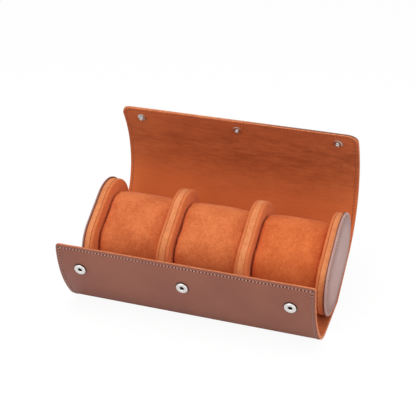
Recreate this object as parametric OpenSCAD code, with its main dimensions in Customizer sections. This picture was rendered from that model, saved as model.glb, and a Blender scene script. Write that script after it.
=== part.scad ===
// Three-slot travel roll for watches, standing open: a leather wrap with a folded front flap
// and a curled lid round a core of oblong walls, with three lift-out pillows between them.
// Millimetres, +Z up. The origin is on the floor, at the middle of the flat that it rests on.
// X runs along the roll, -Y is the front flap's side and +Y the lid's side.

/* [Roll] */
// How far the front flap stands out past each end disc
flap_past_disc = 1.2; // [0:0.1:4]
// How far the lid stops short of the face of each end disc
lid_short_of_disc = 0.7; // [0:0.1:3]
// Distance from the middle of the rest to the middle of the core
core_setback = 17.1; // [14:0.1:24]

/* [Wrap] */
// Thickness of the outer leather
leather_t = 1.2; // [0.8:0.1:2]
// Thickness of the stiffener between leather and lining
stiffener_t = 0.8; // [0.5:0.1:1.5]
// Thickness of the suede lining
lining_t = 0.8; // [0.5:0.1:1.5]
// Length of the flat that the roll rests on
rest_len = 46; // [38:0.1:60]
// Outer radius of the bend below the front flap
front_bend_r = 24; // [18:0.1:34]
// How far that bend turns up
front_bend_deg = 50; // [40:1:60]
// Height of the front flap above the bend, along the leather
flap_len = 57; // [46:0.5:66]
// How far the front flap curls towards the core
flap_curl_deg = 38; // [24:1:46]
// Outer radius of the bend behind the rest
back_bend_r = 6; // [4:0.5:10]
// Slope of the wrap behind the core
back_lift_deg = 38; // [35:0.5:42]
// Length of that slope, up to the lid's fold
back_run = 40.5; // [34:0.1:48]
// Outer radius of the lid's lower half
lid_back_r = 60.6; // [54:0.2:70]
// How far the lid's lower half curls
lid_back_deg = 52; // [44:1:58]
// Outer radius of the lid's upper half
lid_top_r = 88; // [70:0.2:95]
// How far the lid's upper half curls
lid_top_deg = 37; // [30:1:46]
// Radius of the lid's two corners
lid_corner_r = 9; // [4:0.5:16]
// Radius of the front flap's two corners
flap_corner_r = 2; // [1:0.5:6]

/* [Core] */
// Radius of the rounded ends of a wall
wall_r = 27; // [24:0.1:30]
// Distance between the centres of a wall's two rounded ends
wall_span = 28; // [20:0.1:36]
// Lean of the walls' long axis
wall_tilt = 34.5; // [28:0.5:36]
// Clear width of one slot
slot_w = 53.2; // [44:0.1:60]
// Thickness of a divider, over its suede
divider_t = 10.2; // [7:0.1:14]
// Thickness of an end wall without its leather disc, over its suede
end_wall_t = 7; // [5:0.1:10]
// Thickness of the suede on the walls
suede_t = 0.8; // [0.5:0.1:1.2]
// How far a facing turns over a wall's rim, up to the seam with the rim's band
turn_over = 2.5; // [1.8:0.1:3]
// Radius of a wall's soft edges
wall_edge_r = 1.3; // [0.9:0.1:1.6]
// Thickness of the leather disc on each end, at its stitched rim
disc_t = 2.2; // [1.4:0.1:3]
// How far the padding raises the middle of that disc
disc_pad = 0.3; // [0.1:0.1:1]
// Distance of the stitched groove from the disc's edge
disc_seam_inset = 2.3; // [1.8:0.1:3.5]
// How far that disc stands out past the wall's rim
disc_lip = 1.2; // [0.6:0.1:1.3]
// Thickness of the cradle below the walls, at its thinnest
cradle_t = 1.4; // [1.4:0.1:3]

/* [Pillows] */
// Radius of a pillow's rounded ends, next to its side panels
pillow_r = 22; // [18:0.1:23]
// How far a pillow swells past that at its middle
pillow_crown = 1; // [0.2:0.1:2]
// Distance between the centres of a pillow's two rounded ends
pillow_span = 18; // [12:0.5:24]
// Gap between a seated pillow and the cradle
pillow_seat_gap = 0.4; // [0.3:0.1:1]
// Radius of a pillow's soft edges
pillow_edge_r = 3.4; // [1.5:0.1:5]
// Gap on each side of a pillow
pillow_gap = 1.1; // [0.3:0.1:2]
// Thickness of a pillow's side panels
pillow_side_t = 0.9; // [0.6:0.1:1.5]
// Least thickness of the padded band round a pillow's core
pillow_band_t = 1.6; // [1:0.1:3]

/* [Snaps] */
// Distance between two snaps
snap_pitch = 82; // [60:0.5:90]
// Distance of the sockets from the front flap's edge
socket_inset = 20; // [12:0.5:26]
// Distance of the studs from the lid's edge
stud_inset = 11.4; // [9:0.2:20]
// Diameter of a snap's flange
snap_d = 8.6; // [7:0.1:12]
// Diameter of the hole in a socket
socket_bore = 3.6; // [2.6:0.1:4.4]
// Diameter of the barrel that holds a socket or a stud in the leather
barrel_d = 5.6; // [5:0.1:6.4]
// Height of a snap's flange
flange_t = 1; // [0.6:0.1:1.6]
// Height of a stud above its flange
stud_h = 2.6; // [1.6:0.1:3.4]

/* [Folds] */
// Gap between two stretches of the wrap at a fold
fold_gap = 0.3; // [0.2:0.05:0.6]
// Bevel of each side of a fold, which lets it open past its rest
fold_bevel_deg = 21; // [10:1:30]
// How far round the front bend the front flap's fold lies
front_fold_deg = 26; // [16:1:36]

/* [Hidden] */

leather_color = "#8e5d4d";
disc_color = "#9a6a5e";
suede_color = "#dd7744";
lining_color = "#a5502a";
board_color = "#b7a58c";
foam_color = "#e8dcb8";
metal_color = "#d8d8d8";

$fn = 96;
bend_step = 4;          // degrees of bend per facet of the wrap
stiffener_inset = 0.6;  // the stiffener stops this far inside the stitched edges
edge_ease = 0.6;        // eased edge of the leather discs
seam_ease = 0.3;        // each side of a seam in the suede or groove in the leather is eased by this
pad_rise = 7;           // the discs' padding comes up over this width
pad_steps = 6;          // facets of that curve
hole_clear = 0.15;      // round the barrels of the snaps
seat_clear = 0.05;      // under the rim of a flat flange on the hollow side of the wrap's curve
slide = 0.01;           // one cut runs this far past the face that it opens

wrap_t = leather_t + stiffener_t + lining_t;
core_z = wrap_t + cradle_t + wall_r + wall_span / 2 * sin(wall_tilt);
wall_face_x = 1.5 * slot_w + divider_t;
board_end_x = wall_face_x + end_wall_t;
flap_w = 2 * (board_end_x + disc_t + flap_past_disc);
lid_w = 2 * (board_end_x + disc_t - lid_short_of_disc);
snap_xs = [-snap_pitch, 0, snap_pitch];
slot_step = slot_w + divider_t;

// A point of the wrap's outer face is [y, z, direction]. A stretch runs len along it while the
// direction turns by turn degrees, and the inner face lies to the left of the direction.
function along(p, len, turn, s) =
    let (a = turn * s / len, r = turn == 0 ? 0 : len * 180 / (PI * turn))
    turn == 0
        ? [p[0] + s * cos(p[2]), p[1] + s * sin(p[2]), p[2]]
        : [p[0] + r * (sin(p[2] + a) - sin(p[2])), p[1] - r * (cos(p[2] + a) - cos(p[2])), p[2] + a];
function stretch(p, len, turn) =
    let (n = max(1, ceil(abs(turn) / bend_step)))
    [for (i = [0 : n]) along(p, len, turn, len * i / n)];
function last(points) = points[len(points) - 1];
function arc_len(r, deg) = r * deg * PI / 180;
function inward(p, depth, shift = 0) =
    [p[0] - depth * sin(p[2]) + shift * cos(p[2]), p[1] + depth * cos(p[2]) + shift * sin(p[2])];
function fold_shift(depth, on) = on ? fold_gap / 2 + (wrap_t - depth) * tan(fold_bevel_deg) : 0;

function pull_back(points, d) =
    let (a = last(points), b = points[len(points) - 2]) a + (b - a) * d / norm(b - a);

// The wrap is drawn backwards from the middle of the rest, and forwards in a mirrored frame.
half_rest = rest_len / 2;
front_bend_len = arc_len(front_bend_r, front_bend_deg);
front_fold_len = arc_len(front_bend_r, front_fold_deg);
back_bend_len = arc_len(back_bend_r, back_lift_deg);
lid_back_len = arc_len(lid_back_r, lid_back_deg);
lid_top_len = arc_len(lid_top_r, lid_top_deg);

back_rest = stretch([0, 0, 0], half_rest, 0);
back_bend = stretch(last(back_rest), back_bend_len, back_lift_deg);
back_slope = stretch(last(back_bend), back_run, 0);
lid_back = stretch(last(back_slope), lid_back_len, lid_back_deg);
lid_top = stretch(last(lid_back), lid_top_len, lid_top_deg);
front_rest = back_rest;
front_bend = stretch(last(front_rest), front_fold_len, front_fold_deg);
flap_bend = stretch(last(front_bend), front_bend_len - front_fold_len, front_bend_deg - front_fold_deg);
flap_rise = stretch(last(flap_bend), flap_len, flap_curl_deg);

flap_path = concat(flap_bend, flap_rise);
socket_point = along(last(flap_bend), flap_len, flap_curl_deg, flap_len - socket_inset);
stud_point = along(last(lid_back), lid_top_len, lid_top_deg, lid_top_len - stud_inset);

module along_x(w, x = 0) {
    translate([x - w / 2, 0, 0]) rotate([90, 0, 90]) linear_extrude(w) children();
}

// One layer of the wrap along a path, between two depths below the outer face
module strip(path, depth, thick, fold_start, fold_end, inset = 0) {
    first = path[0];
    final = last(path);
    outer = [for (p = path) inward(p, depth)];
    inner = [for (p = path) inward(p, depth + thick)];
    n = len(path);
    start_outer = inward(first, depth, fold_shift(depth, fold_start));
    start_inner = inward(first, depth + thick, fold_shift(depth + thick, fold_start));
    end_outer = fold_end ? inward(final, depth, -fold_shift(depth, true)) : pull_back(outer, inset);
    end_inner = fold_end
        ? inward(final, depth + thick, -fold_shift(depth + thick, true))
        : pull_back(inner, inset);
    polygon(concat(
        [start_outer], [for (i = [1 : n - 2]) outer[i]], [end_outer],
        [end_inner], [for (i = [n - 2 : -1 : 1]) inner[i]], [start_inner]
    ));
}

// Places children at a point of the wrap, with +Z into the roll and +Y along the leather
module at_wrap(p, x) {
    translate([x, p[0], p[1]]) rotate([p[2], 0, 0]) children();
}

// What a rounded corner of radius r takes off the free edge of a layer w wide
module corner_cuts(edge, w, r) {
    for (side = [-1, 1])
        at_wrap(edge, side * (w / 2 - r))
            translate([0, -r, -wrap_t])
                linear_extrude(3 * wrap_t)
                    scale([side, 1])
                        difference() {
                            square([2 * r, 2 * r]);
                            circle(r);
                        }
}

module snap_holes(p) {
    for (x = snap_xs)
        at_wrap(p, x) translate([0, 0, -wrap_t]) cylinder(h = 3 * wrap_t, d = barrel_d + 2 * hole_clear);
}

module free_layer(path, depth, thick, w, corner_r, snap_point, inset = 0) {
    difference() {
        along_x(w - 2 * inset) strip(path, depth, thick, true, false, inset);
        corner_cuts(last(path), w - 2 * inset, corner_r);
        snap_holes(snap_point);
    }
}

// Between the two folds, and tapered in plan over the rest from the flap's width to the lid's
module base_layer(depth, thick, inset = 0) {
    back_path = concat(back_rest, back_bend, back_slope);
    front_path = concat(front_rest, front_bend);
    y_back = last(back_path)[0];
    intersection() {
        union() {
            along_x(flap_w) strip(back_path, depth, thick, false, true);
            mirror([0, 1, 0]) along_x(flap_w) strip(front_path, depth, thick, false, true);
        }
        linear_extrude(core_z)
            polygon([
                [-flap_w / 2 + inset, -half_rest], [-lid_w / 2 + inset, half_rest],
                [-lid_w / 2 + inset, 2 * y_back], [lid_w / 2 - inset, 2 * y_back],
                [lid_w / 2 - inset, half_rest], [flap_w / 2 - inset, -half_rest],
                [flap_w / 2 - inset, -2 * y_back], [-flap_w / 2 + inset, -2 * y_back]
            ]);
    }
}

module base_leather() {
    color(leather_color) base_layer(0, leather_t);
}
module base_stiffener() {
    color(board_color) base_layer(leather_t, stiffener_t, stiffener_inset);
}
module base_lining() {
    color(lining_color) base_layer(leather_t + stiffener_t, lining_t);
}

module flap_layer(depth, thick, inset = 0) {
    mirror([0, 1, 0]) free_layer(flap_path, depth, thick, flap_w, flap_corner_r, socket_point, inset);
}
module flap_leather() {
    color(leather_color) flap_layer(0, leather_t);
}
module flap_stiffener() {
    color(board_color) flap_layer(leather_t, stiffener_t, stiffener_inset);
}
module flap_lining() {
    color(lining_color) flap_layer(leather_t + stiffener_t, lining_t);
}

module lid_back_layer(depth, thick, inset = 0) {
    along_x(lid_w - 2 * inset) strip(lid_back, depth, thick, true, true);
}
module lid_back_leather() {
    color(leather_color) lid_back_layer(0, leather_t);
}
module lid_back_stiffener() {
    color(board_color) lid_back_layer(leather_t, stiffener_t, stiffener_inset);
}
module lid_back_lining() {
    color(lining_color) lid_back_layer(leather_t + stiffener_t, lining_t);
}

module lid_top_layer(depth, thick, inset = 0) {
    free_layer(lid_top, depth, thick, lid_w, lid_corner_r, stud_point, inset);
}
module lid_top_leather() {
    color(leather_color) lid_top_layer(0, leather_t);
}
module lid_top_stiffener() {
    color(board_color) lid_top_layer(leather_t, stiffener_t, stiffener_inset);
}
module lid_top_lining() {
    color(lining_color) lid_top_layer(leather_t + stiffener_t, lining_t);
}

// The outline that all four walls share, grown or shrunk by offset_r
module wall_outline(offset_r = 0) {
    r = wall_r + offset_r;
    translate([core_setback, core_z]) rotate(wall_tilt) {
        square([wall_span, 2 * r], center = true);
        for (side = [-1, 1]) translate([side * wall_span / 2, 0]) circle(r);
    }
}

// Sweeps a profile, drawn as [distance out, x], round an oblong with this span between its ends
module oblong_sweep(span) {
    for (turn = [0, 180])
        rotate([turn, 0, 0]) translate([0, span / 2, 0]) rotate([0, 90, 0]) {
            rotate_extrude(angle = 180) children();
            rotate([90, 0, 0]) linear_extrude(span) children();
        }
}
// Places children at x on the core, in a frame that leans with the walls, and mirrors the left ones
module at_core(x, side = 1) {
    translate([x, core_setback, core_z]) rotate([wall_tilt, 0, 0]) mirror([side < 0 ? 1 : 0, 0, 0]) children();
}
// A blank w wide and h high, whose far lower corner is rounded
module soft_corner(w, h, r) {
    square([w - r, h]);
    translate([0, r]) square([w, h - r]);
    translate([w - r, r]) circle(r);
}
module seam_cut(out, x) {
    translate([out, x]) rotate(45) square(seam_ease * sqrt(2), center = true);
}

module wall_board(x, t) {
    color(board_color) along_x(t, x) wall_outline(-suede_t);
}
// A facing covers one face from x inwards, turns over the soft edge and ends at the rim's seam
module wall_facing(x, side) {
    color(suede_color) at_core(x, side) oblong_sweep(wall_span) difference() {
        soft_corner(wall_r, turn_over, wall_edge_r);
        translate([-slide, suede_t]) square([wall_r - suede_t + slide, turn_over]);
        seam_cut(wall_r, turn_over);
    }
}
// The band round a rim, t wide from x on, with a seam at one or both of its edges
module wall_band(x, t, side, seams) {
    color(suede_color) at_core(x, side) oblong_sweep(wall_span) difference() {
        translate([wall_r - suede_t, 0]) square([suede_t, t]);
        for (seam = seams) seam_cut(wall_r, seam * t);
    }
}

// An end wall: a board, a suede facing over its inner face and edge, a suede band and a leather disc
module end_board(side) {
    wall_board(side * (wall_face_x + (end_wall_t + suede_t) / 2), end_wall_t - suede_t);
}
module end_facing(side) {
    wall_facing(side * wall_face_x, side);
}
module end_rim(side) {
    wall_band(side * (wall_face_x + turn_over), end_wall_t - turn_over, side, [0]);
}
// The disc is padded, and drawn down by a stitched groove near its edge
module end_disc(side) {
    rim_r = wall_r + disc_lip;
    groove_r = rim_r - disc_seam_inset;
    pad_r = groove_r - seam_ease;
    color(disc_color) at_core(side * board_end_x, side) oblong_sweep(wall_span) polygon(concat(
        [
            [0, 0], [rim_r, 0], [rim_r, disc_t - edge_ease], [rim_r - edge_ease, disc_t],
            [groove_r + seam_ease, disc_t], [groove_r, disc_t - seam_ease]
        ],
        [for (i = [0 : pad_steps])
            [pad_r - pad_rise * i / pad_steps, disc_t + disc_pad * sin(90 * i / pad_steps)]],
        [[0, disc_t + disc_pad]]
    ));
}
module left_end_board() { end_board(-1); }
module left_end_facing() { end_facing(-1); }
module left_end_rim() { end_rim(-1); }
module left_end_disc() { end_disc(-1); }
module right_end_board() { end_board(1); }
module right_end_facing() { end_facing(1); }
module right_end_rim() { end_rim(1); }
module right_end_disc() { end_disc(1); }

// A divider: a board with a suede facing over each side and a suede band between their seams
module divider_board(side) {
    wall_board(side * slot_step / 2, divider_t - 2 * suede_t);
}
module divider_facings(side) {
    for (face = [-1, 1]) wall_facing(side * slot_step / 2 - face * divider_t / 2, face);
}
module divider_rim(side) {
    wall_band(side * slot_step / 2 - divider_t / 2 + turn_over, divider_t - 2 * turn_over, 1, [0, 1]);
}
module left_divider_board() { divider_board(-1); }
module left_divider_facings() { divider_facings(-1); }
module left_divider_rim() { divider_rim(-1); }
module right_divider_board() { divider_board(1); }
module right_divider_facings() { divider_facings(1); }
module right_divider_rim() { divider_rim(1); }

// The cradle fills the wedge between the walls and the wrap, from under the lower rounded end
// to most of the way up the slope, and carries the walls
cradle_front = 8;       // ahead of the lower end's lowest point
cradle_depth = 14;      // of its blank, which the walls' outline then cuts
cradle_back = 0.72;     // share of the slope that it covers
low_end_y = core_setback - wall_span / 2 * cos(wall_tilt);
module cradle() {
    slope = stretch(last(back_bend), back_run * cradle_back, 0);
    path = concat([[low_end_y - cradle_front, 0, 0]], [last(back_rest)], back_bend, slope);
    color(suede_color) along_x(2 * board_end_x) difference() {
        polygon(concat(
            [for (p = path) inward(p, wrap_t)],
            [inward(last(slope), wrap_t + cradle_depth)],
            [inward(last(back_bend), wrap_t + cradle_depth)],
            [[low_end_y - cradle_front, wrap_t + cradle_depth / 2]]
        ));
        wall_outline();
    }
}

curl_r = min(flap_len * 180 / (PI * flap_curl_deg), lid_top_r) - wrap_t;
inner_z = wrap_t + pow(snap_d / 2, 2) / (2 * curl_r) + seat_clear;
bore_lip = 0.5;         // chamfer at the inner end of a socket's bore
flange_taper = 0.4;     // the inner flanges are this much smaller in radius
cap_head = 0.3;         // where a stud's barrel meets its cap

// A snap's socket: a domed flange with a bore, on a barrel through the flap
module socket() {
    rotate_extrude() polygon([
        [socket_bore / 2, -flange_t], [snap_d / 2 - flange_t, -flange_t],
        [snap_d / 2 - 0.3 * flange_t, -0.7 * flange_t], [snap_d / 2, -0.2 * flange_t],
        [snap_d / 2, 0], [barrel_d / 2, 0], [barrel_d / 2, inner_z + flange_t / 2],
        [barrel_d / 2 - bore_lip, inner_z + flange_t / 2], [socket_bore / 2, inner_z - bore_lip]
    ]);
}
module socket_washer() {
    rotate_extrude() polygon([
        [barrel_d / 2, inner_z], [snap_d / 2 - flange_taper, inner_z],
        [snap_d / 2 - 2 * flange_taper, inner_z + flange_t / 2], [barrel_d / 2, inner_z + flange_t / 2]
    ]);
}
// A snap's stud: a flange on the lining, a waisted post and its round head
neck_clear = 1;         // a stud's waist is this much narrower than the socket's bore
head_clear = 0.4;       // and its head this much
stud_neck = socket_bore - neck_clear;
stud_head = socket_bore - head_clear;
module stud() {
    rotate_extrude() polygon([
        [0, cap_head], [barrel_d / 2, cap_head], [barrel_d / 2, inner_z], [snap_d / 2 - flange_taper, inner_z],
        [snap_d / 2 - 1.5 * flange_taper, inner_z + 0.5 * flange_t],
        [stud_head / 2 + 1.5 * flange_taper, inner_z + 0.7 * flange_t],
        [stud_neck / 2, inner_z + flange_t], [stud_neck / 2, inner_z + 0.4 * stud_h + 0.5 * flange_t],
        [stud_head / 2, inner_z + 0.7 * stud_h + 0.5 * flange_t],
        [stud_head / 2 - flange_taper, inner_z + stud_h + 0.4 * flange_t],
        [0, inner_z + stud_h + 0.5 * flange_t]
    ]);
}
module stud_cap() {
    rotate_extrude() polygon([
        [0, -flange_t], [snap_d / 2 - flange_t, -flange_t], [snap_d / 2 - 0.3 * flange_t, -0.7 * flange_t],
        [snap_d / 2, -0.2 * flange_t], [snap_d / 2, 0], [barrel_d / 2, 0],
        [barrel_d / 2, cap_head], [0, cap_head]
    ]);
}
module snap_sockets() {
    color(metal_color) mirror([0, 1, 0]) for (x = snap_xs) at_wrap(socket_point, x) socket();
}
module socket_washers() {
    color(metal_color) mirror([0, 1, 0]) for (x = snap_xs) at_wrap(socket_point, x) socket_washer();
}
module snap_studs() {
    color(metal_color) for (x = snap_xs) at_wrap(stud_point, x) stud();
}
module stud_caps() {
    color(metal_color) for (x = snap_xs) at_wrap(stud_point, x) stud_cap();
}

// A pillow: a foam core, a padded band round it and a side panel on each end.
// The band is lofted through oblong rings, which swell to a crown between two soft edges.
pillow_w = slot_w - 2 * pillow_gap;
side_lap = 0.4;         // the side panels reach this far under the band's soft edge
core_r = pillow_r - pillow_edge_r + side_lap;
pillow_sink = wall_r - pillow_r - pillow_crown - pillow_seat_gap;
edge_rings = 3;
crown_rings = 4;
ring_arc = 12;          // facets round each rounded end of a ring
half_w = pillow_w / 2 - pillow_side_t;
function crown_r(x) = pillow_r + pillow_crown * (1 - pow(x / half_w, 2));
function side_rings(side) = [for (i = [0 : edge_rings])
    let (a = 90 * i / edge_rings, x = half_w - pillow_edge_r * (1 - sin(a)))
    [side * (half_w - pillow_edge_r * (1 - cos(90 - a))), crown_r(x) - pillow_edge_r * (1 - sin(a))]];
flat_half = half_w - pillow_edge_r;
left_rings = side_rings(-1);
right_rings = side_rings(1);
middle_rings = [for (i = [1 : crown_rings - 1])
    let (x = -flat_half + 2 * flat_half * i / crown_rings) [x, crown_r(x)]];
pillow_rings = concat(
    left_rings, middle_rings, [for (i = [edge_rings : -1 : 0]) right_rings[i]]
);
function ring_point(ring, k) =
    let (side = k <= ring_arc ? 1 : -1, a = 180 * (k <= ring_arc ? k : k - 1) / ring_arc - 90)
    [ring[0], side * pillow_span / 2 + ring[1] * cos(a), ring[1] * sin(a)];
ring_n = 2 * (ring_arc + 1);
module pillow_loft() {
    n = len(pillow_rings);
    points = [for (ring = pillow_rings) for (k = [0 : ring_n - 1]) ring_point(ring, k)];
    sides = [for (i = [0 : n - 2]) for (k = [0 : ring_n - 1])
        let (a = i * ring_n + k, b = i * ring_n + (k + 1) % ring_n)
        each [[a, a + ring_n, b], [b, a + ring_n, b + ring_n]]];
    caps = [[for (k = [0 : ring_n - 1]) k], [for (k = [ring_n - 1 : -1 : 0]) (n - 1) * ring_n + k]];
    polyhedron(points, concat(sides, caps));
}
module pillow_outline(r) {
    square([pillow_span, 2 * r], center = true);
    for (side = [-1, 1]) translate([side * pillow_span / 2, 0]) circle(r);
}
module at_pillow(slot) {
    translate([slot * slot_step, core_setback, core_z]) rotate([wall_tilt, 0, 0])
        translate([0, 0, -pillow_sink]) children();
}
module pillow_core(slot) {
    color(foam_color) at_pillow(slot) along_x(2 * half_w) pillow_outline(core_r - pillow_band_t);
}
module pillow_band(slot) {
    color(suede_color) at_pillow(slot) difference() {
        pillow_loft();
        along_x(2 * half_w + 2 * slide) pillow_outline(core_r - pillow_band_t);
    }
}
module pillow_sides(slot) {
    color(suede_color) at_pillow(slot)
        for (side = [-1, 1])
            along_x(pillow_side_t, side * (half_w + pillow_side_t / 2)) pillow_outline(core_r);
}
module left_pillow_core() { pillow_core(-1); }
module left_pillow_band() { pillow_band(-1); }
module left_pillow_sides() { pillow_sides(-1); }
module middle_pillow_core() { pillow_core(0); }
module middle_pillow_band() { pillow_band(0); }
module middle_pillow_sides() { pillow_sides(0); }
module right_pillow_core() { pillow_core(1); }
module right_pillow_band() { pillow_band(1); }
module right_pillow_sides() { pillow_sides(1); }

base_leather();
base_stiffener();
base_lining();
cradle();
left_end_board();
left_end_facing();
left_end_rim();
left_end_disc();
right_end_board();
right_end_facing();
right_end_rim();
right_end_disc();
left_divider_board();
left_divider_facings();
left_divider_rim();
right_divider_board();
right_divider_facings();
right_divider_rim();
flap_leather();
flap_stiffener();
flap_lining();
snap_sockets();
socket_washers();
lid_back_leather();
lid_back_stiffener();
lid_back_lining();
lid_top_leather();
lid_top_stiffener();
lid_top_lining();
snap_studs();
stud_caps();
left_pillow_core();
left_pillow_band();
left_pillow_sides();
middle_pillow_core();
middle_pillow_band();
middle_pillow_sides();
right_pillow_core();
right_pillow_band();
right_pillow_sides();
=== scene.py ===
import math

import bmesh
import bpy
from mathutils import Matrix, Vector, noise


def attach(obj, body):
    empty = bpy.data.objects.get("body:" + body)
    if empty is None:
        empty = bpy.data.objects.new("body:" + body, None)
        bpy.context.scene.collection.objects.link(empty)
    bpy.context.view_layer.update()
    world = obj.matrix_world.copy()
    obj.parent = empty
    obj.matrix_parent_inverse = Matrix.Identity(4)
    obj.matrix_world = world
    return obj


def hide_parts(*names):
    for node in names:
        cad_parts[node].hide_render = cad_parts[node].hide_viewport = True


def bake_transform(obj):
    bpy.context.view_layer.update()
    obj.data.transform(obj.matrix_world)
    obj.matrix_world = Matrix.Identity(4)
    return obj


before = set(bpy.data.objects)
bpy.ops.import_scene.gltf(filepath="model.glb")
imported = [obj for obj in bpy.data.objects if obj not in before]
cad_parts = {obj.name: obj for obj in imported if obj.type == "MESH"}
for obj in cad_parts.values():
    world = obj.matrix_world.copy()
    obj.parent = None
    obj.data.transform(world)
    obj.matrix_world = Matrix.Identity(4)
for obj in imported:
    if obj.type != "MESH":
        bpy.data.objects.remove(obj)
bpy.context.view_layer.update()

# ---------------------------------------------------------------------------
# Camera. It stands in front and to the right, a little above the case, with a long lens.
MM = 0.001
camera_turn, camera_lift = math.radians(19.5), math.radians(26.57)
aim_point = Vector((0, -58.2, 41.4)) * MM      # middle front snap
camera_reach, aim_right, aim_up = 796.2 * MM, 18.8 * MM, 57.85 * MM
film_width, lens_length = 36, 94.19
to_right = Vector((math.cos(camera_turn), math.sin(camera_turn), 0))
to_camera = Vector((
    math.sin(camera_turn) * math.cos(camera_lift),
    -math.cos(camera_turn) * math.cos(camera_lift),
    math.sin(camera_lift),
))
to_top = to_camera.cross(to_right)
camera = bpy.data.objects.new("camera", bpy.data.cameras.new("camera"))
bpy.context.scene.collection.objects.link(camera)
bpy.context.scene.camera = camera
camera.data.sensor_width = film_width
camera.data.lens = lens_length
place = Matrix((to_right, to_top, to_camera)).transposed().to_4x4()
place.translation = aim_point + to_camera * camera_reach + to_right * aim_right + to_top * aim_up
camera.matrix_world = place

# ---------------------------------------------------------------------------
# The wrap. One long strip of brown leather over thin board, lined with orange suede, is cut flat
# and bent: flap, rest, slope and lid. Its layers are glued, and pared thin at the free ends.
class Wire:
    """A shader socket that can stand in a Python expression: operators add Math nodes."""

    def __init__(self, tree, socket=None):
        self.tree, self.socket = tree, socket

    def node(self, kind, settings=None, sockets=None, out=0):
        """A new node: its settings first, then the values or links of its sockets."""
        made = self.tree.nodes.new("ShaderNode" + kind)
        for key, value in (settings or {}).items():
            setattr(made, key, value)
        for key, value in (sockets or {}).items():
            if isinstance(value, Wire):
                self.tree.links.new(value.socket, made.inputs[key])
            else:
                made.inputs[key].default_value = value
        return Wire(self.tree, made.outputs[out] if len(made.outputs) else None)

    def maths(self, operation, a, b=0.0):
        return self.node("Math", {"operation": operation}, {0: a, 1: b})

    def __add__(self, other):
        return self.maths("ADD", self, other)

    __radd__ = __add__

    def __sub__(self, other):
        return self.maths("SUBTRACT", self, other)

    def __rsub__(self, other):
        return self.maths("SUBTRACT", other, self)

    def __mul__(self, other):
        return self.maths("MULTIPLY", self, other)

    __rmul__ = __mul__

    def ramp(self, low, high):
        """0 below low, 1 above high, smooth between them."""
        limits = {"Value": self, "From Min": low, "From Max": high}
        return self.node("MapRange", {"interpolation_type": "SMOOTHSTEP"}, limits)

    def blend(self, a, b):
        """Colour a where this is 0 and colour b where it is 1. A Mix node takes them at 6 and 7."""
        ends = {key: v if isinstance(v, Wire) else (*v, 1) for key, v in ((6, a), (7, b))}
        return self.node("Mix", {"data_type": "RGBA"}, {0: self, **ends}, out=2)

    def here(self):
        """The object's own coordinates, in metres."""
        return self.node("TexCoord", out="Object")

    def place(self, axis):
        """One of the object's own coordinates: 0 is X, 1 is Y and 2 is Z."""
        return self.node("SeparateXYZ", {}, {"Vector": self.here()}, out=axis)

    def noise(self, scale, detail=3.0, rough=0.55, stretch=(1, 1, 1)):
        """Noise on the object's own coordinates, in features per metre, drawn out by stretch."""
        at = self.node("Mapping", {}, {"Vector": self.here(), "Scale": stretch})
        return self.node("TexNoise", {}, {"Vector": at, "Scale": scale, "Detail": detail, "Roughness": rough})


def srgb(r, g, b):
    """A colour as a screen shows it, 0 to 255, as the light values that shaders take."""
    return tuple((c / 255 / 12.92) if c < 10 else ((c / 255 + 0.055) / 1.055) ** 2.4 for c in (r, g, b))


def finish(name, base, rough, height=None, relief=0.0, **fixed):
    """A material: base and rough may vary over the surface, relief is the bump's depth in metres."""
    made = bpy.data.materials.new(name)
    made.use_nodes = True
    tree = made.node_tree
    tree.nodes.clear()
    wire = Wire(tree)
    base, rough, height = (v(wire) if callable(v) else v for v in (base, rough, height))
    sockets = {"Base Color": base if isinstance(base, Wire) else (*base, 1), "Roughness": rough}
    sockets.update({key.replace("_", " "): value for key, value in fixed.items()})
    if height is not None:
        sockets["Normal"] = wire.node("Bump", {}, {"Height": height, "Strength": 1.0, "Distance": relief})
    shader = wire.node("BsdfPrincipled", {}, sockets)
    wire.node("OutputMaterial", {}, {"Surface": shader})
    return made


def fine_grain(wire):
    """The slight unevenness of a cut, painted or plated surface."""
    return wire.noise(1500, 2.0)


def smooth_leather(name, colour, rough=0.44):
    """Finished leather: a low pebbled grain under a satin topcoat, over the colour given."""

    def roughness(wire):
        return rough + (wire.noise(260, 3.0, 0.6) - 0.5) * 0.16

    def pebbles(wire):
        nearest = {"feature": "DISTANCE_TO_EDGE"}
        cells = wire.node("TexVoronoi", nearest, {"Vector": wire.here(), "Scale": 1150.0})
        return cells.ramp(0.0, 0.22) * 0.6 + wire.noise(1700, 2.0, 0.5) * 0.5

    return finish(name, colour, roughness, pebbles, 0.05 * MM)


flap_w, lid_w, leather_layer, wrap_t = 200.8, 197.0, 1.6, 2.8
lining_inset, cut_round = 0.15, 0.22
paring_run, paring = 7.0, 0.34
lid_corner, flap_corner = 9.0, 2.0
rest_half = 23.0
# Each way from the middle of the rest: radius, length and degrees of every stretch. A radius is
# used only where no length is given, and 0 degrees is straight.
front_turns = [(0, rest_half, 0), (24, None, 50), (None, 57, 38)]
back_turns = [(0, rest_half, 0), (6, None, 38), (0, 40.5, 0), (60.6, None, 52), (88, None, 37)]


def step(y, z, way, length, turn, run):
    """Where a stretch that starts at y, z is after run millimetres."""
    if abs(turn) < 1e-9:
        return y + run * math.cos(way), z + run * math.sin(way)
    radius, now = length / turn, way + turn * run / length
    return y + radius * (math.sin(now) - math.sin(way)), z - radius * (math.cos(now) - math.cos(way))


def stretches(turns):
    """Each stretch of a path as (start s, length, turn in radians, start y, z and direction)."""
    made, s, y, z, way = [], 0.0, 0.0, 0.0, 0.0
    for radius, length, degrees in turns:
        turn = math.radians(degrees)
        length = length if length is not None else radius * turn
        made.append((s, length, turn, y, z, way))
        s, (y, z), way = s + length, step(y, z, way, length, turn, length), way + turn
    return made, s


front_path, front_end = stretches(front_turns)
back_path, back_end = stretches(back_turns)
lid_split = (back_path[3][0] + back_path[4][0]) / 2     # between the two folds of the lid


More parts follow.
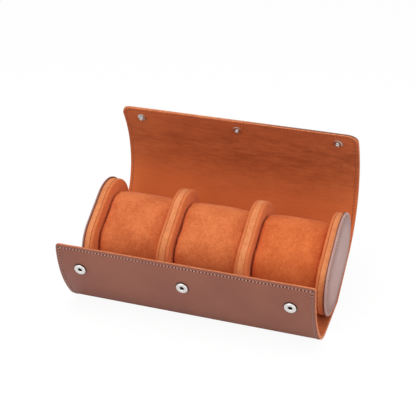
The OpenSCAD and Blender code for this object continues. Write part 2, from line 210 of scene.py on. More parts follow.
def wrap_point(x, s, depth):
    """A point of the bent wrap, in metres, from its place in the flat strip, in millimetres.

    s runs from the middle of the rest, minus to the flap's edge and plus to the lid's, and depth
    goes in from the outer face.
    """
    path, side, end = (back_path, 1, back_end) if s >= 0 else (front_path, -1, front_end)
    run = abs(s)
    thin = paring * max(0.0, 1 - (end - run) / paring_run) ** 2
    depth = leather_layer + (depth - leather_layer) * (1 - thin)
    start, length, turn, y, z, way = next((p for p in reversed(path) if run >= p[0]), path[0])
    y, z = step(y, z, way, length, turn, run - start)
    way += turn * (run - start) / length
    return Vector((x, side * (y - depth * math.sin(way)), z + depth * math.cos(way))) * MM


def bend_strip(bm):
    """Bends what was built flat: x across, y as s, z as depth, all in millimetres."""
    for v in bm.verts:
        v.co = wrap_point(*v.co)
    bmesh.ops.recalc_face_normals(bm, faces=bm.faces[:])


def half_width(s):
    """Half the strip's width: the rest tapers from the flap's width to the lid's."""
    share = min(max((s + rest_half) / (2 * rest_half), 0), 1)
    return (flap_w + (lid_w - flap_w) * share) / 2


def put(bm, name, *materials, smooth=0.6):
    """The finished mesh as an object at the origin. Edges turned less than smooth look round."""
    mesh = bpy.data.meshes.new(name)
    bm.to_mesh(mesh)
    bm.free()
    for material in materials:
        mesh.materials.append(material)
    mesh.polygons.foreach_set("use_smooth", [True] * len(mesh.polygons))
    mesh.set_sharp_from_angle(angle=smooth)
    made = bpy.data.objects.new(name, mesh)
    bpy.context.scene.collection.objects.link(made)
    return made


def strip_piece(name, s0, s1, depth0, depth1, corner, materials, inset=0.0):
    """One layer of one stretch: a flat panel, with rounded corners where its end is free, then bent."""
    row_pitch, fewest_rows, corner_rows = 1.1, 24, 0.22 if corner else 0.0
    rows = max(fewest_rows, int(abs(s1 - s0) / row_pitch))
    straight = abs(s1 - s0) - corner - inset if corner else abs(s1 - s0)
    bm = bmesh.new()
    bmesh.ops.create_grid(bm, x_segments=12, y_segments=rows, size=0.5)
    for v in bm.verts:
        t, cut = v.co.y + 0.5, 0.0
        if t <= 1 - corner_rows:
            run = straight * t / (1 - corner_rows)
        else:
            angle = (t - 1 + corner_rows) / corner_rows * math.pi / 2
            run, cut = straight + corner * math.sin(angle), corner * (1 - math.cos(angle))
        s = s0 + math.copysign(run, s1 - s0)
        v.co = (v.co.x * 2 * (half_width(s) - cut - inset), s, depth0)
    top = bmesh.ops.extrude_face_region(bm, geom=bm.faces[:])["geom"]
    for v in (g for g in top if isinstance(g, bmesh.types.BMVert)):
        v.co.z = depth1
    bmesh.ops.recalc_face_normals(bm, faces=bm.faces[:])
    joined = [s0] if corner else [s0, s1]
    rim = [e for e in bm.edges if len(e.link_faces) == 2 and e.calc_face_angle(0) > 1.0]
    rim = [e for e in rim if not any(all(abs(v.co.y - s) < 1e-4 for v in e.verts) for s in joined)]
    bmesh.ops.bevel(
        bm, geom=rim, offset=cut_round, offset_type="OFFSET", affect="EDGES",
        segments=2, profile=0.5, material=-1,
    )
    for f in bm.faces:
        f.material_index = 0 if abs(f.normal.z) > 0.75 else 1
    bend_strip(bm)
    return put(bm, name, *materials)


def brown_tone(wire):
    """Faint clouds, redder in one and browner in another, with the grain's own darker pits."""
    clouds = wire.noise(30, 3.0, 0.5).ramp(0.3, 0.7)
    grain = wire.noise(900, 3.0, 0.6).ramp(0.3, 0.7)
    return (clouds * 0.6 + grain * 0.4).blend(srgb(138, 78, 62), srgb(152, 91, 70))


brown_leather = smooth_leather("brown_leather", brown_tone)
cut_suede = finish(
    "cut_suede",
    lambda wire: wire.noise(500, 3.0).ramp(0.3, 0.7).blend(srgb(206, 112, 64), srgb(232, 142, 92)),
    0.7, fine_grain, 0.06 * MM,
)


def lid_edge_tone(wire):
    """The lid's painted edge, tan where it was sanded thin and brown along the top towards the right."""
    blend_weight = wire.place(2).ramp(0.119, 0.124) * wire.place(0).ramp(-0.03, 0.06)
    tan = wire.noise(500, 3.0).ramp(0.3, 0.7).blend(srgb(206, 120, 78), srgb(232, 148, 102))
    return (blend_weight * 0.85).blend(tan, srgb(116, 70, 58))


lid_paint = finish("lid_paint", lid_edge_tone, 0.6, fine_grain, 0.05 * MM)


def lining_nap_and_painted_light(wire):
    """Suede nap, with painted light: lighter low behind the walls and at the lid's top and left."""
    clouds = wire.noise(60, 5.0, 0.65, (0.4, 1.1, 1.1)).ramp(0.32, 0.68)
    streaks = wire.noise(420, 4.0, 0.65, (0.2, 1.0, 1.0)).ramp(0.34, 0.66)
    pile = wire.noise(1300, 3.0, 0.7).ramp(0.32, 0.68)
    nap = (clouds * 0.38 + streaks * 0.30 + pile * 0.32).blend(srgb(146, 65, 33), srgb(200, 107, 62))
    # Painted light: lighter low down behind the walls, and at the top and left of the lid.
    low = (1 - wire.place(2).ramp(0.040, 0.098)) * wire.place(1).ramp(0.03, 0.055)
    edge = wire.place(2).ramp(0.100, 0.128) * 0.30 + (1 - wire.place(0).ramp(-0.1, 0.02)) * 0.15
    return wire.maths("MINIMUM", low * 0.85 + edge, 1.0).blend(nap, srgb(216, 112, 60))


def pile_height(wire, streak=(1, 1, 1)):
    """Short upright fibres, in tufts that streak draws out."""
    return wire.noise(2600, 2.0, 0.6) * 0.6 + wire.noise(700, 3.0, 0.6, streak) * 0.7


nap_sheen = {
    "Sheen_Weight": 0.25, "Sheen_Roughness": 0.45, "Sheen_Tint": (1.0, 0.62, 0.38, 1),
    "Specular_IOR_Level": 0.15,
}
lining = finish(
    "lining_suede", lining_nap_and_painted_light, 0.92, lambda wire: pile_height(wire, (0.2, 1, 1)), 0.10 * MM, **nap_sheen
)
# The leather turns at a fold between a point before the axis and one after it.
flap_fold = (Vector((0, -23.5, 0.5)) * MM, Vector((0, -44, 13)) * MM)
lid_fold = (Vector((0, 49.5, 19.5)) * MM, Vector((0, 66.5, 38.5)) * MM)
top_fold = (Vector((0, 80, 59)) * MM, Vector((0, 80, 89)) * MM)
wrap_parts = [
    ("front", 0, -front_end, flap_corner, ("roll", "front_flap"), flap_fold, cut_suede,
     ("base_leather", "flap_leather"), ("base_stiffener", "flap_stiffener", "base_lining", "flap_lining")),
    ("back", 0, lid_split, 0, ("roll", "lid_back"), lid_fold, lid_paint,
     ("lid_back_leather",), ("lid_back_stiffener", "lid_back_lining")),
    ("top", lid_split, back_end, lid_corner, ("lid_back", "lid_top"), top_fold, lid_paint,
     ("lid_top_leather",), ("lid_top_stiffener", "lid_top_lining")),
]
for part, s0, s1, corner, bodies, fold, edge, outer_nodes, inner_nodes in wrap_parts:
    outer = strip_piece(part + "_wrap_leather", s0, s1, 0.0, leather_layer, corner, (brown_leather, edge))
    inner = strip_piece(
        part + "_wrap_lining", s0, s1, leather_layer, wrap_t, corner, (lining, cut_suede), lining_inset
    )
    for piece, nodes, slot in ((outer, outer_nodes, "wrap_leather"), (inner, inner_nodes, "lining_suede")):
        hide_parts(*nodes)
        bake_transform(piece)

# ---------------------------------------------------------------------------
# Stitching. A lockstitch runs round the flap and the lid a little inside the edge: pale brown
# thread outside, orange thread on the lining, each stitch between two punched holes.
stitch_pitch, stitch_inset = 2.6, 2.5
thread_length, thread_half, thread_flat, thread_proud = 1.35, 0.44, 0.32, 0.10
stitch_slant = math.radians(7)
hole_long, hole_wide, hole_deep = 0.78, 0.60, 0.14


def thread(name, dark, light, rough):
    """Waxed thread, whose twist shows as fine ridges across it."""

    def twist(wire):
        slanting = {"bands_direction": "DIAGONAL"}
        return wire.node("TexWave", slanting, {"Vector": wire.here(), "Scale": 4500.0})

    return finish(name, lambda wire: wire.noise(900, 2.0).blend(dark, light), rough, twist, 0.08 * MM)


thread_brown = thread("brown_thread", srgb(196, 148, 134), srgb(224, 180, 166), 0.62)
thread_orange = thread("orange_thread", srgb(184, 92, 52), srgb(206, 112, 68), 0.7)
# Holes: small lumps painted dark for the shade in a punched hole, near black in leather, darker in suede.
punched_hole = finish(
    "punched_hole", lambda wire: wire.noise(700).blend(srgb(40, 18, 14), srgb(60, 30, 24)), 0.9
)
suede_hole = finish(
    "suede_hole", lambda wire: wire.noise(700).blend(srgb(144, 66, 36), srgb(162, 80, 46)), 0.9
)


def seam_run(corners):
    """Points a stitch apart along a line of corners, each with the line's direction there."""
    made = []
    legs = [(Vector((*a, 0)), Vector((*b, 0))) for a, b in zip(corners, corners[1:])]
    total = sum((b - a).length for a, b in legs)
    count, walked, index = max(1, round(total / stitch_pitch)), 0.0, 0
    for k in range(count):
        want = total * (k + 0.5) / count
        while walked + (legs[index][1] - legs[index][0]).length < want:
            walked += (legs[index][1] - legs[index][0]).length
            index += 1
        a, b = legs[index]
        made.append((a.lerp(b, (want - walked) / (b - a).length), math.atan2(b.y - a.y, b.x - a.x)))
    return made


def stitches(bm, run, surface, outward):
    """A thread and a hole for each stitch on a flat sheet. surface is the depth they lie on."""
    one = bmesh.new()
    lie = Matrix.Rotation(stitch_slant, 4, "Z")
    lie = lie @ Matrix.Diagonal((thread_length / 2, thread_half, thread_flat, 1))
    lie = Matrix.Translation((0, 0, outward * thread_proud)) @ lie @ Matrix.Rotation(math.pi / 2, 4, "Y")
    bmesh.ops.create_uvsphere(one, u_segments=6, v_segments=6, radius=1, matrix=lie)
    thread_faces = len(one.faces)
    hole = Matrix.Diagonal((hole_long, hole_wide, hole_deep, 1))
    hole = Matrix.Translation((stitch_pitch / 2, 0, 0)) @ hole
    bmesh.ops.create_uvsphere(one, u_segments=6, v_segments=4, radius=1, matrix=hole)
    one.faces.ensure_lookup_table()
    for f in one.faces[thread_faces:]:
        f.material_index = 1
    pattern = bpy.data.meshes.new("stitch")
    one.to_mesh(pattern)
    one.free()
    for at, heading in run:
        there = Matrix.Translation((at.x, at.y, surface)) @ Matrix.Rotation(heading, 4, "Z")
        pattern.transform(there)
        bm.from_mesh(pattern)
        pattern.transform(there.inverted())
    bpy.data.meshes.remove(pattern)


flap_edge, lid_edge = -front_end + stitch_inset, back_end - stitch_inset
flap_side, lid_side = flap_w / 2 - stitch_inset, lid_w / 2 - stitch_inset
turn_in, past_rest = lid_corner - stitch_inset, 6
lid_turn = [
    (lid_side - turn_in * (1 - math.cos(a)), lid_edge - turn_in * (1 - math.sin(a)))
    for a in (math.radians(d) for d in (0, 22.5, 45, 67.5, 90))
]


def there_and_back(corners):
    """A seam up the right side and, as its mirror image, down the left one."""
    return corners + [(-x, s) for x, s in reversed(corners)]


seams = {
    "front": [there_and_back([(flap_side, -rest_half), (flap_side, flap_edge)])],
    "back": [[(side * lid_side, rest_half + past_rest), (side * lid_side, lid_split)] for side in (-1, 1)],
    "top": [there_and_back([(lid_side, lid_split)] + lid_turn)],
}
for part, _, _, _, bodies, fold, _, _, _ in wrap_parts:
    for layer, surface, outward, sewing, hole, slot in (
        ("outer", 0.0, -1, thread_brown, punched_hole, "wrap_leather"),
        ("inner", wrap_t, 1, thread_orange, suede_hole, "lining_suede"),
    ):
        bm = bmesh.new()
        for corners in seams[part]:
            stitches(bm, seam_run(corners), surface, outward)
        bend_strip(bm)
        sewn = put(bm, part + "_" + layer + "_stitches", sewing, hole, smooth=3.0)
        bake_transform(sewn)

# ---------------------------------------------------------------------------
# The walls. Two end walls and two dividers are oblong boards covered in suede: a facing on each
# side is turned over the soft edge and meets a band round the rim in a narrow seam.
wall_r, wall_span = 27.0, 28.0
wall_lean = math.radians(34.5)
wall_lift = 1.4                                 # the cradle's thickness under the walls
core_y, core_z = 17.1, wrap_t + wall_lift + wall_r + wall_span / 2 * math.sin(wall_lean)
slot_w, divider_t, end_wall_t = 53.2, 10.2, 7.0
turn_over, wall_edge_r, seam_half, seam_depth = 2.5, 1.3, 0.38, 0.3
edge_cuts, seam_cuts = (0.06, 0.2, 0.42, 0.7, 1.0), (-1, -0.4, 0, 0.4, 1)


def suede(name, light, dark, patch):
    """Napped suede: cloudy patches where the nap lies differently, with a fine short pile."""

    def colour(wire):
        clouds = wire.noise(patch, 4.0, 0.6).ramp(0.32, 0.68)
        mottle = wire.noise(420, 4.0, 0.65).ramp(0.30, 0.70)
        pile = wire.noise(1300, 3.0, 0.7).ramp(0.32, 0.68)
        return (clouds * 0.34 + mottle * 0.28 + pile * 0.38).blend(dark, light)

    return finish(name, colour, 0.92, pile_height, 0.12 * MM, **nap_sheen)


def oval_point(x, p, q):
    """A point of the core, in metres: p along the walls' long axis, q across it."""
    y = core_y + p * math.cos(wall_lean) - q * math.sin(wall_lean)
    z = core_z + p * math.sin(wall_lean) + q * math.cos(wall_lean)
    return Vector((x, y, z)) * MM


def oval_slab(x0, x1, radius, span, stations, offset_at, steps=96):
    """An oblong block between x0 and x1, cut at the stations, whose rim stands offset_at(x) out."""
    bm = bmesh.new()
    spin = Matrix.Rotation(math.pi / steps, 4, "Z")
    bmesh.ops.create_circle(bm, cap_ends=True, radius=1.0, segments=steps, matrix=spin)
    for v in bm.verts:
        v.co.z = x0
    top = bmesh.ops.extrude_face_region(bm, geom=bm.faces[:])["geom"]
    for v in (g for g in top if isinstance(g, bmesh.types.BMVert)):
        v.co.z = x1
    for x in stations:
        whole = bm.verts[:] + bm.edges[:] + bm.faces[:]
        bmesh.ops.bisect_plane(bm, geom=whole, plane_co=(0, 0, x), plane_no=(0, 0, 1))
    for v in bm.verts:
        angle = (round(math.atan2(v.co.y, v.co.x) * steps / math.tau - 0.5) + 0.5) * math.tau / steps
        x = min([x0, x1, *stations], key=lambda cut: abs(cut - v.co.z))
        r = radius + offset_at(x)
        p, q = r * math.cos(angle), r * math.sin(angle)
        v.co = (p + math.copysign(span / 2, p), q, x)
    return bm


def to_core(bm, lift=0.0):
    """From (p, q, x) to the core's place in the case, with q lifted."""
    for v in bm.verts:
        v.co = oval_point(v.co.z, v.co.x, v.co.y + lift)
    bmesh.ops.recalc_face_normals(bm, faces=bm.faces[:])


def rounded(radius, into):
    """How far a rounded edge has fallen away where it is into millimetres round its corner."""
    return radius - math.sqrt(max(radius ** 2 - into ** 2, 0))


def wall_rim(x0, x1, seams_at, soft_left, soft_right):
    """Stations and offsets of a wall's rim: soft edges, and a groove at each seam."""
    soft_ends = [(x, side) for x, side, soft in ((x0, 1, soft_left), (x1, -1, soft_right)) if soft]
    stations = {x + side * wall_edge_r * share for x, side in soft_ends for share in edge_cuts}
    stations |= {x + seam_half * share for x in seams_at for share in seam_cuts}

    def offset(x):
        low = 0.0
        for end, _ in soft_ends:
            if abs(x - end) < wall_edge_r:
                low -= rounded(wall_edge_r, wall_edge_r - abs(x - end))
        for seam in seams_at:
            low -= seam_depth * max(0, 1 - abs(x - seam) / seam_half) ** 0.8
        return low

    return sorted(stations), offset


# The rims' suede is painted lighter than the facings', for the light falling on them from above.
rim_suede = suede("rim_suede", srgb(246, 160, 106), srgb(208, 118, 70), 70)
face_suede = suede("facing_suede", srgb(236, 138, 84), srgb(204, 104, 58), 50)
# Darker suede in the seam grooves is painted shade.
seam_suede = suede("seam_suede", srgb(206, 118, 72), srgb(176, 92, 52), 70)
wall_face = 1.5 * slot_w + divider_t
walls = []
for side, word in ((-1, "left"), (1, "right")):
    inner, outer = side * wall_face, side * (wall_face + end_wall_t)
    walls.append((word + "_end", min(inner, outer), max(inner, outer), [inner + side * turn_over], side))
    middle = side * (slot_w + divider_t) / 2
    x0, x1 = middle - divider_t / 2, middle + divider_t / 2
    walls.append((word + "_divider", x0, x1, [x0 + turn_over, x1 - turn_over], 0))
for name, x0, x1, seams_at, end_side in walls:
    stations, offset = wall_rim(x0, x1, seams_at, end_side >= 0, end_side <= 0)
    bm = oval_slab(x0, x1, wall_r, wall_span, stations, offset)
    far_side = {-1: x0, 0: seams_at[-1], 1: x1}[end_side]
    low, high = sorted((seams_at[0], far_side))
    for f in (f for f in bm.faces if len(f.verts) == 4):
        x = f.calc_center_median().z
        in_seam = min(abs(x - seam) for seam in seams_at) < seam_half * 0.7
        f.material_index = 2 if in_seam else 1 if low < x < high else 0
    to_core(bm)
    wall = put(bm, name + "_suede", face_suede, rim_suede, seam_suede)
    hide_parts(name + ("_facing" if end_side else "_facings"), name + "_rim")
    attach(wall, "roll")

# ---------------------------------------------------------------------------
# The end discs. A thick oblong of the same leather covers each end, a little larger than the
# wall. It is padded, and stitched down close to its dark painted edge.
disc_t, disc_lip, disc_seam, disc_round = 2.2, 0.9, 3.1, 1.35
disc_sink = 0.10                                # the thread lies this far in the leather
# The painted sheen fades out of the padded middle, then in again on the rounded edge: metres from the axis.
sheen_pad_fade, sheen_edge_fade = (0.012, 0.0240), (0.0252, 0.0264)
# Steps from the rounded edge to the middle, each so far in and so far out: the seam's ditch, then
# the padding's slope.
pad_steps = (
    (0.9, 0.02), (0.35, -0.2), (0.35, 0.0), (0.5, 0.2), (1.4, 0.25), (3.5, 0.3), (6.0, 0.2), (6.0, 0.05),
)


def disc_tone_painted_sheen(wire):
    """Painted sheen, pale on the padded middle and the rounded edge, leaving the seam darker."""
    y, z = wire.place(1) - core_y * MM, wire.place(2) - core_z * MM
    along = wire.maths("ABSOLUTE", y * math.cos(wall_lean) + z * math.sin(wall_lean))
    across = z * math.cos(wall_lean) - y * math.sin(wall_lean)
    past = wire.maths("MAXIMUM", along - wall_span / 2 * MM, 0.0)
    out = wire.maths("SQRT", across * across + past * past)
    # Painted highlight on the padded middle and the rounded edge.
    painted_sheen_mask = (1 - out.ramp(*sheen_pad_fade)) + out.ramp(*sheen_edge_fade)
    blend_weight = painted_sheen_mask * 0.7 + wire.noise(45, 3.0, 0.6).ramp(0.3, 0.7) * 0.3
    grain = wire.noise(900, 3.0, 0.6).ramp(0.3, 0.7)
    # Both colours are pale pinkish grey, paler than the wrap's leather, painted for the face's reflection.
    return (blend_weight * 0.85 + grain * 0.15).blend(srgb(146, 100, 92), srgb(190, 149, 141))


disc_leather = smooth_leather("disc_leather", disc_tone_painted_sheen, rough=0.38)
disc_edge = finish(
    "disc_edge", lambda wire: wire.noise(500).ramp(0.3, 0.7).blend(srgb(96, 46, 32), srgb(126, 66, 48)),
    0.6, fine_grain, 0.05 * MM,
)
for side, word in ((-1, "left"), (1, "right")):
    inner = side * (wall_face + end_wall_t)
    outer = inner + side * disc_t
    disc_r = wall_r + disc_lip
    bm = oval_slab(min(inner, outer), max(inner, outer), disc_r, wall_span, [], lambda x: 0.0)
    rim = [e for e in bm.edges if all(abs(v.co.z - outer) < 1e-3 for v in e.verts)]
    bmesh.ops.bevel(
        bm, geom=rim, offset=disc_round, offset_type="OFFSET", affect="EDGES",
        segments=6, profile=0.5, material=-1,
    )
    bmesh.ops.recalc_face_normals(bm, faces=bm.faces[:])
    face = max((f for f in bm.faces if f.normal.z * side > 0.9), key=lambda f: f.calc_area())
    for thickness, depth in pad_steps:
        bmesh.ops.inset_individual(bm, faces=[face], thickness=thickness, depth=depth)
    bm.normal_update()
    for f in bm.faces:
        f.material_index = 1 if f.normal.z * side < 0.1 else 0
    to_core(bm)
    disc = put(bm, word + "_end_cover", disc_leather, disc_edge)
    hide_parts(word + "_end_disc")
    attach(disc, "roll")
    seam_r = disc_r - disc_seam
    corners = [
        (half * wall_span / 2 + seam_r * math.cos(a), seam_r * math.sin(a))
        for half, start in ((1, -90), (-1, 90)) for a in (math.radians(start + d) for d in range(0, 181, 6))
    ]
    bm = bmesh.new()
    stitches(bm, seam_run(corners + corners[:1]), outer - side * disc_sink, side)
    to_core(bm)
    sewn = put(bm, word + "_end_stitches", thread_brown, punched_hole, smooth=3.0)
    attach(sewn, "roll")

# ---------------------------------------------------------------------------
# The pillows. Each is a block of foam in a suede cover, with a crowned band sewn to flat side
# panels. It lies loose between two walls and lifts out with the watch round it.
pillow_r, pillow_crown, pillow_span, pillow_gap, pillow_edge = 23.2, 1.0, 18.0, 0.7, 2.4
pillow_clear = 0.9                              # from its underside to the level the walls stand on
pillow_sink = wall_r - pillow_r - pillow_crown - pillow_clear
pillow_half = slot_w / 2 - pillow_gap
dents_per_metre, dent_depth = 55, 0.35
slack, swell, side_swell, voxel = 0.3, 1.2, 0.3, 2.2
air, cover_mass, cloth_quality, last_frame = 40, 0.01, 6, 20
pillow_shades = {
    "left": (srgb(240, 139, 83), srgb(196, 91, 48)),
    "middle": (srgb(243, 142, 85), srgb(198, 94, 49)),
    "right": (srgb(237, 131, 72), srgb(196, 87, 42)),
}


def pillow_offset(x, middle):
    """The pillow's band: crowned, and turned down softly to the side panels."""
    away = abs(x - middle)
    low = pillow_crown * (1 - (away / pillow_half) ** 2)
    into = away - (pillow_half - pillow_edge)
    return low - rounded(pillow_edge, into) if into > 0 else low


def applied(piece):
    """Keeps the shape that the piece's modifiers give."""
    shaped = bpy.data.meshes.new_from_object(piece.evaluated_get(bpy.context.evaluated_depsgraph_get()))
    piece.modifiers.clear()
    piece.data = shaped


def fill_out(piece, middle):
    """Blows the cover up as cloth, no point moving more than swell, then smooths it once."""
    remesh = piece.modifiers.new("quads", "REMESH")
    remesh.mode, remesh.voxel_size, remesh.use_smooth_shade = "VOXEL", voxel * MM, True
    applied(piece)
    for v in piece.data.vertices:
        v.co = [round(c, 5) for c in v.co]      # so that the cloth starts the same in every run
    start = [v.co.copy() for v in piece.data.vertices]
    cloth = piece.modifiers.new("cover", "CLOTH")
    cloth.settings.quality, cloth.settings.mass = cloth_quality, cover_mass
    cloth.settings.use_pressure, cloth.settings.uniform_pressure_force = True, air
    cloth.settings.effector_weights.gravity = 0
    for frame_number in range(1, last_frame + 1):
        bpy.context.scene.frame_set(frame_number)
    filled = piece.evaluated_get(bpy.context.evaluated_depsgraph_get()).data
    moves = [v.co - before for v, before in zip(filled.vertices, start)]
    piece.modifiers.clear()
    bpy.context.scene.frame_set(1)
    reach = pillow_half + side_swell
    for v, before, move in zip(piece.data.vertices, start, moves):
        v.co = before + move * min(1.0, swell * MM / max(move.length, 1e-9))
        v.co.x = min(max(v.co.x, (middle - reach) * MM), (middle + reach) * MM)
    piece.modifiers.new("smooth", "SUBSURF").levels = 1
    applied(piece)


for index, word in ((-1, "left"), (0, "middle"), (1, "right")):
    middle = index * (slot_w + divider_t)
    ends = [1 - (1 - math.cos(math.radians(d))) * pillow_edge / pillow_half for d in (75, 60, 45, 30, 15)]
    stations = [middle + side * pillow_half * share for side in (-1, 1) for share in ends]
    stations += [middle + pillow_half * k / 10 for k in range(-8, 9)]
    loose = slack
    bm = oval_slab(
        middle - pillow_half, middle + pillow_half, pillow_r - loose, pillow_span, sorted(stations),
        lambda x: pillow_offset(x, middle),
    )
    for v in bm.verts:
        v.co.z = middle + (v.co.z - middle) * (1 - loose / pillow_half)
    to_core(bm, -pillow_sink)
    axis = oval_point(0, 0, -pillow_sink)
    for v in bm.verts:
        dent = noise.noise(v.co * dents_per_metre + Vector((index * 7, 0, 0)))
        v.co += Vector((0, v.co.y - axis.y, v.co.z - axis.z)).normalized() * dent * dent_depth * MM
    cover = suede(word + "_pillow_suede", *pillow_shades[word], 60)
    pillow = put(bm, word + "_pillow_cover", cover, smooth=1.2)
    fill_out(pillow, middle)
    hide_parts(word + "_pillow_band", word + "_pillow_sides")
    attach(pillow, word + "_pillow")

# ---------------------------------------------------------------------------
# The snaps. Nickel-plated press studs, clenched through the strip: domed sockets in the flap, each on a
# dark ring painted for the shadow round it and with a near-black cup in its bore painted for shade, and
# studs on the lid's lining with a waisted post, in nickel painted darker for the shade there.
def plated(name, dark, light, low):
    """Nickel plate, brushed a little by use."""
    return finish(
        name, lambda wire: wire.noise(400, 2.0).blend(dark, light),
        lambda wire: low + wire.noise(900, 3.0) * 0.14, fine_grain, 0.01 * MM, Metallic=1.0,
    )


nickel = plated("nickel", (0.80, 0.79, 0.77), (0.90, 0.89, 0.87), 0.22)
# The studs' nickel is a darker copy of the sockets', painted for the shade on the lid's lining.
stud_nickel = plated("stud_nickel", (0.46, 0.44, 0.43), (0.62, 0.60, 0.58), 0.24)
# A dark ring under each socket's rim, painted for the shadow round the socket.
dark_foot = finish(
    "dark_foot", lambda wire: wire.noise(400, 2.0).blend(srgb(48, 24, 18), srgb(70, 38, 30)),
    0.6, fine_grain, 0.01 * MM,
)
# A cup closes each socket's bore, as the real socket's back does, painted near black for the shade in the
# bore.
spring_cup = finish(
    "spring_cup", lambda wire: wire.noise(600).blend((0.010, 0.009, 0.008), (0.03, 0.025, 0.02)),
    0.9, Specular_IOR_Level=0.1,
)
snap_pitch, socket_in, stud_in = 82.0, 20.0, 11.4
snap_r, snap_round, bore_r, dome, foot_r, rim_lift = 4.6, 0.9, 1.4, 0.65, 5.15, 0.8
# Rings of (radius, height), with heights towards the lining.
shadow_foot_rings = [(3.0, 0.2), (foot_r, 0.2), (foot_r, -0.15), (foot_r - 0.3, -0.3), (3.0, -0.35)]
socket_rings = [(3.0, -0.2), (snap_r - 0.6, -0.2)] + [
    (snap_r - snap_round * (1 - math.cos(a)), -rim_lift - dome * math.sin(a))
    for a in (math.radians(d) for d in range(0, 91, 15))
] + [(2.6, -rim_lift - dome), (1.9, -rim_lift - 0.5), (bore_r + 0.1, -0.9), (bore_r, -0.6)]
bore_rings = [(bore_r - 0.02, -0.62), (bore_r - 0.02, -1.15), (bore_r - 0.3, -1.1), (0.8, -0.72), (0.3, -0.7)]
stud_rings = [
    (3.0, -0.1), (3.9, -0.1), (3.9, 0.15), (3.6, 0.42), (2.4, 0.6), (1.5, 0.75), (1.25, 1.1), (1.25, 1.7),
] + [
    (1.5 * math.cos(a), 2.35 + 0.75 * math.sin(a))
    for a in (math.radians(d) for d in (-50, -25, 0, 25, 50, 75))
]


def turned(bm, rings, place, finish_index):
    """A turned piece: a disc drawn up through rings of (radius, height), then set in its place."""
    verts_before, faces_before = len(bm.verts), len(bm.faces)
    made = bmesh.ops.create_circle(bm, cap_ends=True, segments=40, radius=rings[0][0])["verts"]
    for v in made:
        v.co.z = rings[0][1]
    base = [e for v in made for e in v.link_edges]
    face = made[0].link_faces[0]
    for radius, height in rings[1:]:
        face = bmesh.ops.extrude_discrete_faces(bm, faces=[face])["faces"][0]
        for v in face.verts:
            v.co = (*(v.co.xy.normalized() * radius), height)
    bmesh.ops.holes_fill(bm, edges=list({e for e in base if e.is_valid}), sides=0)
    bm.verts.ensure_lookup_table()
    for v in bm.verts[verts_before:]:
        v.co = place @ v.co
    bm.faces.ensure_lookup_table()
    for f in bm.faces[faces_before:]:
        f.material_index = finish_index


def snap_place(x, s, depth):
    """The frame of a snap at a point of the strip: its z goes in towards the lining."""
    at = wrap_point(x, s, depth)
    into = (wrap_point(x, s, depth + 1) - at).normalized()
    across = Vector((1, 0, 0))
    place = Matrix((across, into.cross(across), into)).transposed().to_4x4()
    place.translation = at
    return place @ Matrix.Scale(MM, 4)


def dress(node, material):
    """Gives a CAD node that stays its finish."""
    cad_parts[node].data.materials.clear()
    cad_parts[node].data.materials.append(material)


socket_turnings = (socket_rings, shadow_foot_rings, bore_rings)
for name, s, depth, turnings, metal, body in (
    ("snap_sockets", socket_in - front_end, 0.0, socket_turnings, nickel, "front_flap"),
    ("snap_studs", back_end - stud_in, wrap_t, (stud_rings,), stud_nickel, "lid_top"),
):
    bm = bmesh.new()
    for x in (-snap_pitch, 0, snap_pitch):
        for index, rings in enumerate(turnings):
            turned(bm, rings, snap_place(x, s, depth), index)
    bmesh.ops.recalc_face_normals(bm, faces=bm.faces[:])
    snaps = put(bm, "turned_" + name, metal, dark_foot, spring_cup)
    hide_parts(name)
    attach(snaps, body)
for node in ("socket_washers", "stud_caps"):
    dress(node, nickel)

# ---------------------------------------------------------------------------
# What shows little or not at all. The walls have boards of pressed fibre in them, the pillows a
# block of foam, and the core stands on a suede-covered cradle glued to the lining.
board = finish(
    "board", lambda wire: wire.noise(300).ramp(0.3, 0.7).blend(srgb(168, 150, 120), srgb(186, 170, 140)),
    0.85, lambda wire: wire.noise(900), 0.05 * MM,
)
foam = finish(
    "foam", lambda wire: wire.noise(800).ramp(0.4, 0.6).blend(srgb(214, 200, 160), srgb(232, 220, 184)),
    0.95, lambda wire: wire.noise(1200), 0.2 * MM,
)
dress("cradle", lining)
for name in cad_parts:
    if name.endswith("_board"):
        dress(name, board)
    elif name.endswith("_core"):
        dress(name, foam)

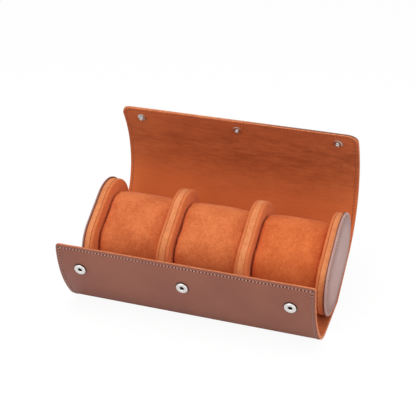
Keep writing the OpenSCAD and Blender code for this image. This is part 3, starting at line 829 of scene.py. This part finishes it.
# ---------------------------------------------------------------------------
# The studio: a white floor and soft light from all round, with softboxes above, in front and on
# the right. The floor lies just under the stitches that stand out below the rest.
floor_half, floor_drop = 6, 0.4 * MM
paper_white, paper_share, sky_light = 1.03, 0.9, 0.48
scene = bpy.context.scene
scene.view_settings.view_transform = "Standard"
bm = bmesh.new()
below = Matrix.Translation((0, 0, -floor_drop))
bmesh.ops.create_grid(bm, x_segments=1, y_segments=1, size=floor_half, matrix=below)
floor = put(bm, "floor")
paper = bpy.data.materials.new("paper")
paper.use_nodes = True
paper.node_tree.nodes.clear()
wire = Wire(paper.node_tree)
seen = wire.node("LightPath", out="Is Camera Ray")
matt = wire.node("BsdfDiffuse", {}, {"Color": (0.86, 0.86, 0.86, 1)})
glow = wire.node("Emission", {}, {"Color": (1, 1, 1, 1), "Strength": paper_white})
both = wire.node("MixShader", {}, {0: seen * paper_share, 1: matt, 2: glow})
wire.node("OutputMaterial", {}, {"Surface": both})
floor.data.materials.append(paper)

world = bpy.data.worlds.new("studio")
scene.world = world
world.use_nodes = True
world.node_tree.nodes.clear()
wire = Wire(world.node_tree)
rays = [wire.node("LightPath", out="Is " + kind + " Ray") for kind in ("Camera", "Glossy", "Transmission")]
shown = wire.maths("MAXIMUM", wire.maths("MAXIMUM", rays[0], rays[1]), rays[2])
strength = shown * (1 - sky_light) + sky_light
sky = wire.node("Background", {}, {"Color": (1, 1, 1, 1), "Strength": strength})
wire.node("OutputWorld", {}, {"Surface": sky})


def softbox(name, at, size, watts):
    """An area lamp at a place, in metres, that faces the case."""
    lamp = bpy.data.lights.new(name, "AREA")
    lamp.shape, lamp.size, lamp.size_y, lamp.energy = "RECTANGLE", size, size, watts
    made = bpy.data.objects.new(name, lamp)
    scene.collection.objects.link(made)
    made.location = at
    made.rotation_euler = (Vector(at) - Vector((0, 0, 0.05))).to_track_quat("Z", "Y").to_euler()


softbox("top_light", (-0.1, -0.3, 1.3), 1.0, 7.5)
softbox("front_light", (-0.6, -1.2, 0.6), 0.8, 3.3)
softbox("right_light", (1.2, -0.35, 0.55), 0.8, 4.5)
